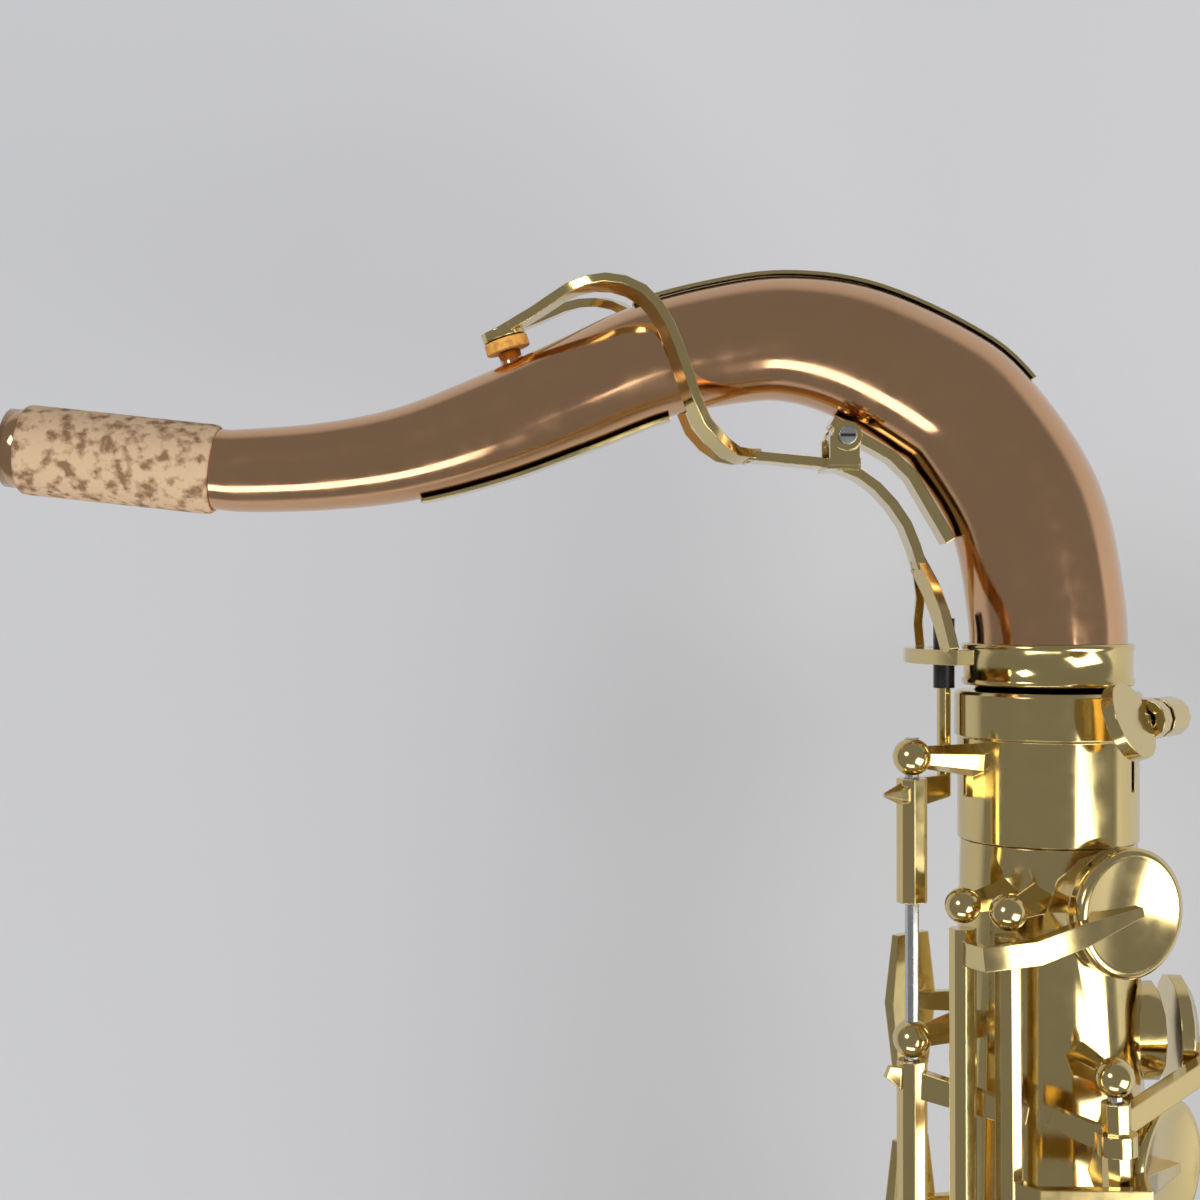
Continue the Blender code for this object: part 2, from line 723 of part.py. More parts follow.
def bell_frame():
    lean = math.radians(BELL_LEAN)
    start = Vector((2.0 * BOW_RADIUS, BODY_END, 0.0))
    return start, Vector((math.sin(lean), math.cos(lean), 0.0))


def bell_at(distance):
    start, along = bell_frame()
    return start + along * distance


def bell_radius(distance):
    for (near, small), (far, large) in zip(BELL_LINE, BELL_LINE[1:]):
        if distance <= far:
            return small + (large - small) * (distance - near) / (far - near)
    return BELL_LINE[-1][1]


def bow_at(turn):
    """Centre of the bow at an angle from the body round to the bell, and its tube's radius."""
    angle = math.radians(turn)
    share = turn / 180.0
    centre = Vector((BOW_RADIUS - BOW_RADIUS * math.cos(angle), BOW_LEVEL - BOW_RADIUS * math.sin(angle), 0.0))
    return centre, BOW_START_RADIUS + (BOW_END_RADIUS - BOW_START_RADIUS) * share


RIGHT = Vector((0.0, 0.0, 1.0))
# Cups beyond the body: foot centre in the tube, side, height of the pad face, radius
LOW_C = (bow_at(76.0)[0], RIGHT, 37.4, 23.5)
LOW_CS = (bell_at(40.0), -RIGHT, 41.6, 23.0)
LOW_B = (bell_at(108.0), RIGHT, 44.0, 26.5)
LOW_BB = (bell_at(183.0), RIGHT, 48.6, 27.5)


def far_chimney(row):
    centre, side, level, radius = row
    wall = radius - CUP_EDGE
    tube = rod(centre + side * 14.0, centre + side * level, wall, 20)
    hole = rod(centre + side * 2.0, centre + side * (level + 3.0), wall - 1.1, 20)
    return tube, hole


def build_bow_and_bell():
    """Bow, bell, the two ferrules over their joints and the ring brace to the body."""
    turns = [18.0 * step for step in range(11)]
    rows = [bow_at(turn) for turn in turns]
    level = BODY_END - GAP
    ends = (Vector((0.0, level, 0.0)), Vector((2.0 * BOW_RADIUS, level, 0.0)))
    centres = [ends[0]] + [row[0] for row in rows] + [ends[1]]
    radii = [BOW_START_RADIUS] + [row[1] for row in rows] + [BOW_END_RADIUS]
    outer = hose(centres, radii, 7)
    past = [ends[0] + Vector((0, 2, 0))] + centres[1:-1] + [ends[1] + Vector((0, 2, 0))]
    inner = hose(past, [radius - BOW_WALL - 0.5 for radius in radii], 4)
    tube, hole = far_chimney(LOW_C)
    foot = rod(LOW_C_LINE.at(-643.0), (16.0, -645.0, 27.0), 1.6, 6, 2.6)
    made = cut(union([outer, tube]), [inner, hole])
    made = union([made, foot, ball(LOW_C_LINE.at(-643.0), 2.7)])
    finish_part("bow", made, BRASS)
    start, along = bell_frame()
    profile = [(radius, distance) for distance, radius in reversed(BELL_LINE)]
    rim = BELL_LINE[-1]
    bead = []
    for turn in (150.0, 90.0, 30.0, -30.0):
        angle = math.radians(turn)
        bead.append((rim[1] + BELL_RIM_BEAD * math.cos(angle), rim[0] + BELL_RIM_BEAD * math.sin(angle)))
    inside = [(radius - BELL_WALL, distance) for distance, radius in BELL_LINE]
    shell = turned(bead + profile[1:] + inside, 28, base=start, axis=along)
    solids = []
    holes = []
    for row in (LOW_CS, LOW_B, LOW_BB):
        tube, hole = far_chimney(row)
        solids.append(tube)
        holes.append(hole)
    core = rod(bell_at(-2.0), bell_at(230.0), 34.6, 20, 35.0)
    made = cut(union([shell] + solids), [core] + holes)
    posts = []
    for distance in (67.0, 148.0, 220.0):
        spot = bell_hinge().at(bell_at(distance).y)
        centre = bell_at(distance)
        toward = (spot - centre).normalized()
        posts.append(ball(spot, 2.9))
        posts.append(rod(spot, centre + toward * (bell_radius(distance) - 0.6), 1.7, 6, 2.8))
    for distance in (12.0, 72.0):
        spot = cs_hinge().at(bell_at(distance).y)
        centre = bell_at(distance)
        toward = (spot - centre).normalized()
        posts.append(ball(spot, 2.7))
        posts.append(rod(spot, centre + toward * (bell_radius(distance) - 0.6), 1.7, 6, 2.8))
    finish_part("bell", union([made] + posts), BRASS)
    for name, centre, radius in (
        ("bow_ferrule_body", Vector((0.0, BODY_END, 0.0)), BOW_START_RADIUS),
        ("bow_ferrule_bell", Vector((2.0 * BOW_RADIUS, BODY_END, 0.0)), BOW_END_RADIUS),
    ):
        ring = (
            (radius + 2.5, 7.2),
            (radius + 2.9, 6.2),
            (radius + 2.9, -6.2),
            (radius + 2.5, -7.2),
            (radius + 1.4, -7.2),
            (radius + 1.4, 7.2),
        )
        finish_part(name, turned(ring, 24, base=centre), BRASS)
    middle = Vector((49.0, -426.0, 0.0))
    ring = cut(
        rod(middle - RIGHT * 2.0, middle + RIGHT * 2.0, 10.0, 20),
        [rod(middle - RIGHT * 4.0, middle + RIGHT * 4.0, 7.0, 20)],
    )
    body_side = rod((body_radius(-426.0) + 0.4, -426.0, 0.0), middle - Vector((8.5, 0, 0)), 3.6, 8, 1.8)
    bell_side = rod(middle + Vector((8.5, 0, 0)), (70.4, -426.0, 0.0), 1.8, 8, 3.6)
    finish_part("bell_brace", union([ring, body_side, bell_side]), BRASS)


def bell_hinge():
    return Line(bell_at(222.0) + Vector((-38.0, 0.0, 42.0)), bell_at(65.0) + Vector((-33.5, 0.0, 33.5)))


def cs_hinge():
    return Line(bell_at(74.0) + Vector((-31.5, 0.0, -33.0)), bell_at(10.0) + Vector((-31.5, 0.0, -33.0)))


def body_key(
    name, line, top, bottom, lift, stands_open, extras=(), radius=TUBE_RADIUS, bored=False, via=()
):
    """A key with its cup on the body: hinge tube, arm and cup, with extra pieces such as a touch."""
    centre, normal, cup_radius, thickness = cup_place(name)
    height = centre.y
    pieces = [hinge_tube(line, top, bottom, radius)]
    pieces.append(cup(centre, normal, cup_radius, thickness))
    root = min(height, top - 4.0)
    pieces.append(arm_over(line, root, centre, normal, cup_radius, thickness, via))
    pieces.extend(extras)
    made = union(pieces)
    if bored:
        made = cut(made, [rod(line.at(bottom - 1.0), line.at(top + 1.0), ROD_BORE, 6)])
    return key("key_" + name, [made], line, height, centre, normal, lift, stands_open)


def pearl(name):
    """The pearl holder on a stack cup."""
    centre, normal, radius, thickness = cup_place(name)
    size = min(radius * 0.62, 8.2)
    low = centre + normal * (thickness - 0.4)
    return rod(low, low + normal * 3.2, size * 0.7, 12, size)


def touch(line, height, angle, distance, plate_height, size, via=()):
    """A finger plate on an arm from the hinge line, by way of any points given."""
    root = line.at(height)
    plate_centre = around(plate_height, angle, distance)
    normal = outward(angle)
    side = Vector((0.0, 1.0, 0.0))
    half = side * size[0] / 2
    plate = bar((plate_centre - half, plate_centre, plate_centre + half), outward(angle + 90.0),
                (size[1] * 0.7, size[1], size[1] * 0.7), (1.6, 2.2, 1.6))
    knee = plate_centre - normal * 0.4
    count = len(via) + 1
    arm = bar((root, *via, knee), side, [4.2] * count + [3.4], [2.4] * count + [1.6])
    return [plate, arm]


def build_keys():
    """All keys on the body."""
    over = ((-17.6, -42.2, 29.9), (-9.6, -41.0, 30.1))
    body_key("high_fs", FS_LINE, -38.6, -196.4, 4.0, False, via=over)
    over = ((-9.5, -80.8, 31.6), (8.0, -80.8, 32.0))
    body_key("high_e", E_LINE, -39.0, -192.4, 4.0, False, via=over)
    for name, top, bottom, spot in (
        ("palm_f", -45.5, -71.5, -62.0),
        ("palm_eb", -78.5, -113.5, -102.0),
        ("palm_d", -120.5, -161.5, -148.0),
    ):
        plates = touch(PALM_LINE, spot, -126.0, 33.5, spot, (26.0, 12.0))
        body_key(name, PALM_LINE, top, bottom, 4.0, False, plates)
    plates = touch(SIDE_C_LINE, -326.0, 158.0, 38.5, -326.0, (22.0, 10.0))
    body_key("side_c", SIDE_C_LINE, -211.5, -342.5, 2.6, False, plates)
    plates = touch(SIDE_BB_LINE, -352.0, 132.0, 42.0, -352.0, (20.0, 9.0))
    body_key("side_bb", SIDE_BB_LINE, -251.5, -362.5, 2.0, False, plates)
    body_key("gs", GS_LINE, -235.5, -266.5, 4.0, False)
    for name, top, bottom, lift in (
        ("c_vent", -66.2, -82.0, 2.6),
        ("b", -83.0, -114.2, 3.2),
        ("bis", -122.0, -140.0, 3.0),
        ("a", -141.0, -178.2, 3.4),
        ("g", -186.0, -236.2, 3.6),
    ):
        extras = [] if name == "c_vent" else [pearl(name)]
        if name == "c_vent":
            ring = rod(STACK_LINE.at(-74.6), STACK_LINE.at(-71.2), 3.5, 12)
            lever = bar((STACK_LINE.at(-73.0), (-6.0, -69.5, 24.2)), (0, 1, 0), (4.0, 3.2), (2.0, 1.8))
            extras = [ring, lever]
        body_key(name, STACK_LINE, top, bottom, lift, True, extras, STACK_TUBE_RADIUS, True)
    for name, top, bottom in (
        ("fs", -276.0, -316.0),
        ("f", -324.2, -363.0),
        ("e", -364.0, -424.0),
        ("d", -432.2, -480.0),
    ):
        extras = [] if name == "fs" else [pearl(name)]
        body_key(name, LOWER_LINE, top, bottom, 6.0, True, extras, STACK_TUBE_RADIUS, True)
    over = ((-0.8, -503.0, 44.4), (12.0, -503.5, 44.6))
    plates = touch(LOW_EB_LINE, -503.0, 60.0, 52.0, -505.0, (13.0, 20.0), over)
    body_key("low_eb", LOW_EB_LINE, -495.5, -560.5, 5.0, False, plates)


def far_key(name, row, line, top, bottom, lift, stands_open, extras=()):
    """A key whose cup is on the bow or the bell."""
    foot, side, level, radius = row
    centre = foot + side * (level + PAD_GAP)
    pieces = [hinge_tube(line, top, bottom), cup(centre, side, radius, 5.0, 20)]
    pieces.append(arm_over(line, centre.y, centre, side, radius, 5.0))
    pieces.extend(extras)
    key("key_" + name, pieces, line, centre.y, centre, side, lift, stands_open)


def build_far_keys():
    """The lowest keys, on the bow and the bell."""
    line = LOW_C_LINE
    foot, side, level, radius = LOW_C
    centre = foot + side * (level + PAD_GAP)
    top = centre + side * 4.8
    arm = bar(
        (line.at(-632.0), (15.5, centre.y + 16.0, top.z + 0.6), top + side * 0.5),
        (0.6, 0.8, 0.0), (4.2, 4.2, 1.6), (2.4, 2.4, 1.6),
    )
    plates = touch(line, -524.0, 60.0, 50.0, -524.0, (16.0, 20.0))
    pieces = [hinge_tube(line, -495.5, -639.0), cup(centre, side, radius, 5.0, 20), arm] + plates
    key("key_low_c", pieces, line, -600.0, centre, side, 5.0, True)
    line = bell_hinge()
    far_key("low_b", LOW_B, line, bell_at(144.0).y, bell_at(71.0).y, 7.0, True)
    far_key("low_bb", LOW_BB, line, bell_at(216.0).y, bell_at(152.0).y, 7.0, True)
    line = cs_hinge()
    far_key("low_cs", LOW_CS, line, bell_at(68.5).y, bell_at(15.5).y, 6.0, False)


def build_octave():
    """Octave mechanism on the back: the pin's lever, its sleeve, the thumb lever and their rod."""
    line = OCTAVE_LINE
    tube = hinge_tube(line, -14.6, -36.0, OCTAVE_TUBE_RADIUS)
    pin_foot = Vector((-18.6, -17.4, 0.0))
    arm = bar((line.at(-17.0), pin_foot + Vector((0, 0.2, 0))), (0, 1, 0), (5.0, 4.0), (2.2, 2.0))
    finial = rod(line.at(-17.2) + Vector((-1.6, 0, 0.9)), line.at(-17.2) + Vector((-5.2, 0, 2.6)), 2.2, 6, 0.4)
    pin = rod(pin_foot - Vector((0, 1.6, 0)), pin_foot + Vector((0, 29.0, 0)), 1.25, 8)
    made = union([tube, arm, pin, finial])
    made = cut(made, [rod(line.at(-38.0), line.at(-12.0), ROD_BORE, 6)])
    finish_part("octave_pin_lever", made, BRASS, (line.at(-25.0), line.direction))
    sleeve = rod((-18.6, 0.4, 0.0), (-18.6, 12.9, 0.0), 1.9, 10)
    hole = rod((-18.6, -0.6, 0.0), (-18.6, 12.2, 0.0), 1.5, 8)
    finish_part("octave_pin_sleeve", cut(sleeve, [hole]), BLACK, (line.at(-25.0), line.direction))
    tube = hinge_tube(line, -63.2, -144.2, OCTAVE_TUBE_RADIUS)
    lever = bar(
        (line.at(-66.0) + Vector((-4.6, 1.2, 1.6)), line.at(-66.9), (-14.0, -69.0, 20.6), (-9.0, -70.0, 21.6)),
        (0, 1, 0), (2.0, 4.6, 4.0, 3.2), (1.0, 2.4, 2.0, 1.8),
    )
    plates = touch(line, -138.0, 190.0, 30.5, -138.0, (18.0, 14.0))
    made = union([tube, lever] + plates)
    made = cut(made, [rod(line.at(-146.0), line.at(-61.0), ROD_BORE, 6)])
    finish_part("octave_thumb_lever", made, BRASS, (line.at(-100.0), line.direction))
    finish_part("octave_rod", rod(line.at(-152.0), line.at(-7.6), ROD_RADIUS, 8), STEEL)
    finish_part("upper_stack_rod", rod(STACK_LINE.at(-243.0), STACK_LINE.at(-59.4), ROD_RADIUS, 8), STEEL)
    finish_part("lower_stack_rod", rod(LOWER_LINE.at(-487.0), LOWER_LINE.at(-269.2), ROD_RADIUS, 8), STEEL)


def build_fittings():
    """Thumb rest and hook, strap ring and the cup guards."""
    spot = body_radius(-168.0) + GAP + 0.3
    rest = turned(((0.0, 3.4), (6.0, 3.2), (8.0, 1.6), (8.2, 0.0), (0.0, 0.0)), 16,
                  base=around(-168.0, 188.0, spot), axis=outward(188.0), closed=False)
    finish_part("thumb_rest", rest, BLACK)
    base = body_radius(-320.0) + GAP + 1.0
    hook = bar(
        (around(-300.0, 182.0, base), around(-322.0, 182.0, base + 0.7), around(-330.0, 182.0, base + 6.0),
         around(-331.0, 182.0, base + 17.0), around(-339.0, 182.0, base + 21.0)),
        outward(272.0), (8.0, 12.0, 12.0, 12.0, 9.0), (1.8, 2.0, 2.2, 2.2, 2.0),
    )
    finish_part("thumb_hook", hook, BRASS)
    centre = around(-232.0, 182.0, body_radius(-232.0) + 10.6)
    axis = Vector((0.0, 0.0, 1.0))
    disc = rod(centre - axis * 1.6, centre + axis * 1.6, 7.6, 20)
    ring = cut(disc, [rod(centre - axis * 4, centre + axis * 4, 5.0, 16)])
    skin = body_radius(-232.0)
    foot = rod(around(-232.0, 182.0, skin + 0.5), around(-232.0, 182.0, skin + 4.4), 4.2, 8, 1.8)
    finish_part("strap_ring", union([ring, foot]), BRASS)
    up_bell = bell_frame()[1]
    for name, row, run, reach, feet in (
        ("guard_low_b", LOW_B, up_bell, 16.5, (43.0, 40.2)),
        ("guard_low_bb", LOW_BB, up_bell, 16.5, (49.7, 43.9)),
        ("guard_low_c", LOW_C, Vector((0.55, 0.83, 0.0)).normalized(), 19.0, (27.0, 23.4)),
        ("guard_low_cs", LOW_CS, up_bell, 16.0, (39.3, 37.9)),
    ):
        foot, side, level, radius = row
        far = radius + 3.4
        height = level + reach
        first = foot + run * far
        last = foot - run * far
        path = (
            first + side * feet[0],
            first + side * (height - 5.0),
            foot + run * (far - 6.0) + side * height,
            foot + side * (height + 0.6),
            foot - run * (far - 6.0) + side * height,
            last + side * (height - 5.0),
            last + side * feet[1],
        )
        width = run.cross(side)
        finish_part(name, bar(path, width, 7.0, 2.0), BRASS)


def lay_down():
    """Turn the instrument onto its left side and put its lowest point on the ground."""
    roll = Matrix.Rotation(math.radians(REST_ROLL), 4, "Y")
    pitch = Matrix.Rotation(math.radians(REST_PITCH), 4, "X")
    LYING.matrix_world = pitch @ roll
    bpy.context.view_layer.update()
    corners = []
    for item in PARTS.objects:
        if item.type == "MESH":
            corners += [item.matrix_world @ vertex.co for vertex in item.data.vertices]
    low = Vector([min(corner[axis] for corner in corners) for axis in range(3)])
    high = Vector([max(corner[axis] for corner in corners) for axis in range(3)])
    middle = (low + high) / 2
    shift = Matrix.Translation((-middle.x, -middle.y, -low.z))
    LYING.matrix_world = shift @ pitch @ roll
    bpy.context.view_layer.update()
    print("size in metres:", [round(value, 4) for value in high - low])


build_body()
build_receiver()
build_neck()
build_neck_key()
build_bow_and_bell()
build_keys()
build_far_keys()
build_octave()
build_fittings()
lay_down()
for part_name, swing in SWINGS.items():
    print(part_name, "swings", round(swing, 2), "degrees")
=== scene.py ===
# %% [markdown]
# # A tenor saxophone lying on a pale surface
#
# The solid parts of the instrument come from the CAD frame. This lesson gives them their finishes,
# draws the pieces nearest the camera more finely, and lights and photographs the whole.

# %% Load the frame
import json
import math

import bmesh
import bpy
from mathutils import Matrix, Vector


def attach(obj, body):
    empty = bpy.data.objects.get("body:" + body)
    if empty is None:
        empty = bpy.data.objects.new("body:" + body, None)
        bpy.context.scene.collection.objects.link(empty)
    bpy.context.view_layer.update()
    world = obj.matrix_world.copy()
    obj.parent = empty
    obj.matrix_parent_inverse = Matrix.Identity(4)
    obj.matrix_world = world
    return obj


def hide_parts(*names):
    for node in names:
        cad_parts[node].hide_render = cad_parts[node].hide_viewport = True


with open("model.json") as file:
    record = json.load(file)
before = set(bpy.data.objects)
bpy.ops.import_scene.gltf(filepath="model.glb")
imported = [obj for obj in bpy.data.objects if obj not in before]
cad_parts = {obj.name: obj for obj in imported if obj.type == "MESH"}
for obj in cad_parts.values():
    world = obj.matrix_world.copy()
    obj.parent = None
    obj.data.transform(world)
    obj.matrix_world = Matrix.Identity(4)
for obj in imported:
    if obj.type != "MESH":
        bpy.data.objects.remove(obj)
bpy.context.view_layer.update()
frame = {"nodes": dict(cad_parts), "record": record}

nodes = frame["nodes"]
print("loaded", len(nodes), "solid parts")

# %% [markdown]
# The instrument is easiest to think about upright: x to the bell, y up the body to the neck and z
# out of the player's right side, with the origin at the top of the neck receiver. The CAD lays it
# down on its left side, so one matrix takes a point in millimetres from that upright frame to the
# scene.

# %% From the upright instrument to the scene
LYING = Matrix((
    (0.97514933, 0.0, 0.22154862, -0.00880645),
    (0.00386653, 0.99984771, -0.01701861, 0.31100646),
    (-0.22151487, 0.01745231, 0.9750008, 0.1105169),
    (0.0, 0.0, 0.0, 1.0),
))


def place(x, y, z):
    """A point of the upright instrument, in millimetres, as a point of the scene in metres."""
    return LYING @ Vector((x / 1000, y / 1000, z / 1000))


print("receiver top is at", [round(value, 3) for value in place(0, 0, 0)])

# %% [markdown]
# Lacquered brass is a smooth metal under a thin clear coat. Hands and polishing leave its gloss a
# little uneven, so a small noise moves the roughness up and down. The same wear is used by every
# metal here, and is therefore a node group with a colour and a gloss as its inputs.

# %% A node group for handled lacquer
def handled_lacquer():
    """The node group that gives a handled metal its uneven colour and gloss."""
    group = bpy.data.node_groups.new("Handled lacquer", "ShaderNodeTree")
    group.interface.new_socket("Colour", in_out="INPUT", socket_type="NodeSocketColor")
    group.interface.new_socket("Dark colour", in_out="INPUT", socket_type="NodeSocketColor")
    group.interface.new_socket("Gloss low", in_out="INPUT", socket_type="NodeSocketFloat")
    group.interface.new_socket("Gloss high", in_out="INPUT", socket_type="NodeSocketFloat")
    group.interface.new_socket("Colour", in_out="OUTPUT", socket_type="NodeSocketColor")
    group.interface.new_socket("Roughness", in_out="OUTPUT", socket_type="NodeSocketFloat")
    nodes_in = group.nodes
    start = nodes_in.new("NodeGroupInput")
    end = nodes_in.new("NodeGroupOutput")
    coordinates = nodes_in.new("ShaderNodeTexCoord")
    broad = nodes_in.new("ShaderNodeTexNoise")
    broad.inputs["Scale"].default_value = 28.0
    broad.inputs["Detail"].default_value = 3.0
    fine = nodes_in.new("ShaderNodeTexNoise")
    fine.inputs["Scale"].default_value = 260.0
    mix = nodes_in.new("ShaderNodeMix")
    mix.data_type = "RGBA"
    span = nodes_in.new("ShaderNodeMapRange")
    span.inputs["From Min"].default_value = 0.35
    span.inputs["From Max"].default_value = 0.65
    links = group.links
    links.new(coordinates.outputs["Object"], broad.inputs["Vector"])
    links.new(coordinates.outputs["Object"], fine.inputs["Vector"])
    links.new(broad.outputs["Fac"], mix.inputs["Factor"])
    links.new(start.outputs["Colour"], mix.inputs["A"])
    links.new(start.outputs["Dark colour"], mix.inputs["B"])
    links.new(fine.outputs["Fac"], span.inputs["Value"])
    links.new(start.outputs["Gloss low"], span.inputs["To Min"])
    links.new(start.outputs["Gloss high"], span.inputs["To Max"])
    links.new(mix.outputs["Result"], end.inputs["Colour"])
    links.new(span.outputs["Result"], end.inputs["Roughness"])
    return group


LACQUER = handled_lacquer()
print("made the group", LACQUER.name)

# %% [markdown]
# The body and keys are yellow brass, the neck a redder bronze, both lacquered, and the rods are bare
# steel. They are one metal with other colours, so one function makes all three. Its bevel node
# rounds the edges in the shading only, which catches the light as a real broken edge does.

# %% Metals
EDGE_ROUNDING = 0.0003


def metal(name, colour, dark, low, high):
    """A coated metal of two near colours, with a roughness between low and high."""
    made = bpy.data.materials.new(name)
    made.use_nodes = True
    tree = made.node_tree
    shader = tree.nodes["Principled BSDF"]
    shader.inputs["Metallic"].default_value = 1.0
    shader.inputs["Coat Weight"].default_value = 0.35
    shader.inputs["Coat Roughness"].default_value = 0.06
    wear = tree.nodes.new("ShaderNodeGroup")
    wear.node_tree = LACQUER
    wear.inputs["Colour"].default_value = (*colour, 1.0)
    wear.inputs["Dark colour"].default_value = (*dark, 1.0)
    wear.inputs["Gloss low"].default_value = low
    wear.inputs["Gloss high"].default_value = high
    edges = tree.nodes.new("ShaderNodeBevel")
    edges.samples = 6
    edges.inputs["Radius"].default_value = EDGE_ROUNDING
    tree.links.new(edges.outputs["Normal"], shader.inputs["Normal"])
    tree.links.new(edges.outputs["Normal"], shader.inputs["Coat Normal"])
    tree.links.new(wear.outputs["Colour"], shader.inputs["Base Color"])
    tree.links.new(wear.outputs["Roughness"], shader.inputs["Roughness"])
    return made


finishes = {
    "lacquered_brass": metal("Gold lacquer", (0.76, 0.60, 0.27), (0.68, 0.52, 0.21), 0.10, 0.17),
    "rose_lacquered_bronze": metal("Bronze lacquer", (0.74, 0.44, 0.24), (0.64, 0.36, 0.18), 0.10, 0.17),
    "rod_steel": metal("Rod steel", (0.62, 0.62, 0.60), (0.52, 0.52, 0.50), 0.2, 0.32),
}
print("metals:", sorted(finishes))

# %% [markdown]
# Cork is a pale tan with dark specks, and it isn't shiny. A noise with a steep ramp gives the specks
# and a little relief. The octave pad is orange cork and the sleeve on the pin is black plastic.

# %% Cork, pad and plastic
RELIEF_DEPTH = 0.0004


def dull(name, colour, speck, scale, roughness, relief):
    """A material without metal in it, speckled by a noise that also raises its surface."""
    made = bpy.data.materials.new(name)
    made.use_nodes = True
    tree = made.node_tree
    shader = tree.nodes["Principled BSDF"]
    shader.inputs["Roughness"].default_value = roughness
    coordinates = tree.nodes.new("ShaderNodeTexCoord")
    noise = tree.nodes.new("ShaderNodeTexNoise")
    noise.inputs["Scale"].default_value = scale
    noise.inputs["Detail"].default_value = 6.0
    ramp = tree.nodes.new("ShaderNodeValToRGB")
    ramp.color_ramp.elements[0].position = 0.36
    ramp.color_ramp.elements[0].color = (*speck, 1.0)
    ramp.color_ramp.elements[1].position = 0.52
    ramp.color_ramp.elements[1].color = (*colour, 1.0)
    bump = tree.nodes.new("ShaderNodeBump")
    bump.inputs["Strength"].default_value = relief
    bump.inputs["Distance"].default_value = RELIEF_DEPTH
    tree.links.new(coordinates.outputs["Object"], noise.inputs["Vector"])
    tree.links.new(noise.outputs["Fac"], ramp.inputs["Fac"])
    tree.links.new(ramp.outputs["Color"], shader.inputs["Base Color"])
    tree.links.new(noise.outputs["Fac"], bump.inputs["Height"])
    tree.links.new(bump.outputs["Normal"], shader.inputs["Normal"])
    return made


finishes["cork"] = dull("Cork", (0.62, 0.43, 0.26), (0.25, 0.13, 0.06), 420.0, 0.85, 0.5)
finishes["octave_pad_cork"] = dull("Pad cork", (0.85, 0.42, 0.08), (0.60, 0.26, 0.05), 700.0, 0.8, 0.3)
black = (0.012, 0.012, 0.012)
# This black plastic is also the painted shade in the pivot screw's slot.
finishes["black_plastic"] = dull("Black plastic and painted slot shade", black, (0.01, 0.01, 0.01), 90.0, 0.35, 0.0)
slots = {row["node"]: row["material_slot"] for row in frame["record"]["subparts"]}
riders = {}
for body, members in frame["record"]["behaviour"]["bodies"].items():
    for member in members:
        riders[member] = body
print("finishes for", len(slots), "parts")

# %% [markdown]
# The CAD solids have flat faces where the real metal is round. A polished tube shows every flat as a
# hard band, so each solid not drawn anew below gets a skin: the same mesh with its doubled corners
# joined and its shading smooth, except over edges sharper than forty degrees. The skin stands for the
# solid.

# %% A smooth skin on each solid
FINE = ("neck_tube", "neck_cork", "neck_collar", "neck_top_brace", "neck_under_brace")
SHARP_ANGLE = math.radians(40.0)


def smooth(mesh):
    """Shade a mesh smooth, except over its sharp edges."""
    mesh.shade_smooth()
    mesh.set_sharp_from_angle(angle=SHARP_ANGLE)


def dress(made, name, like):
    """Name a piece and give it the finish, the slot and the body of one of the solids."""
    made.name = name
    made.data.materials.clear()
    made.data.materials.append(finishes[slots[like]])
    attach(made, riders[like])
    return made


def skin(name):
    """The smooth-shaded skin of one solid."""
    mesh = nodes[name].data.copy()
    bm = bmesh.new()
    bm.from_mesh(mesh)
    bmesh.ops.remove_doubles(bm, verts=bm.verts, dist=0.000002)
    bm.to_mesh(mesh)
    bm.free()
    if "custom_normal" in mesh.attributes:
        mesh.attributes.remove(mesh.attributes["custom_normal"])
    smooth(mesh)
    made = bpy.data.objects.new(name + "_skin", mesh)
    bpy.context.scene.collection.objects.link(made)
    dress(made, name + "_skin", name)
    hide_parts(name)
    return made


for name in sorted(nodes):
    if name not in FINE:
        skin(name)
print("skins on", len(nodes) - len(FINE), "solids")

# %% [markdown]
# The neck is what the photograph looks at most closely. Its tube is drawn here as a curve through
# the same points as the CAD's, with many more steps, so that its outline is a true bend. A round
# bevel makes it a tube and a Solidify modifier gives it its wall.

# %% The neck's tube
NECK_LINE = (
    (-186.7, 43.6, 7.1), (-168.0, 41.6, 7.2), (-150.0, 39.8, 7.25), (-143.5, 39.5, 7.5),
    (-129.0, 40.3, 7.9), (-114.7, 42.6, 8.5), (-100.3, 47.2, 9.35), (-85.9, 53.0, 9.9),
    (-71.5, 59.0, 10.4), (-57.1, 62.3, 10.8), (-46.3, 63.1, 11.2), (-34.5, 60.6, 12.0),
    (-20.8, 53.7, 12.7), (-13.4, 47.3, 13.1), (-4.0, 32.3, 13.7), (-0.3, 14.4, 13.85),
    (0.0, 3.0, 13.85),
)
STEPS = 6
NECK_WALL = 0.0009


def fine_line(points, steps):
    """Points of a Catmull-Rom curve through the given ones."""
    rows = [Vector(item) for item in points]
    rows = [rows[0] * 2 - rows[1]] + rows + [rows[-1] * 2 - rows[-2]]
    made = []
    for a, b, c, d in zip(rows, rows[1:], rows[2:], rows[3:]):
        for step in range(steps):
            t = step / steps
            curve = b * 2 + (c - a) * t + (a * 2 - b * 5 + c * 4 - d) * t * t
            made.append((curve + (b * 3 - a - c * 3 + d) * t * t * t) / 2)
    return made + [rows[-2]]


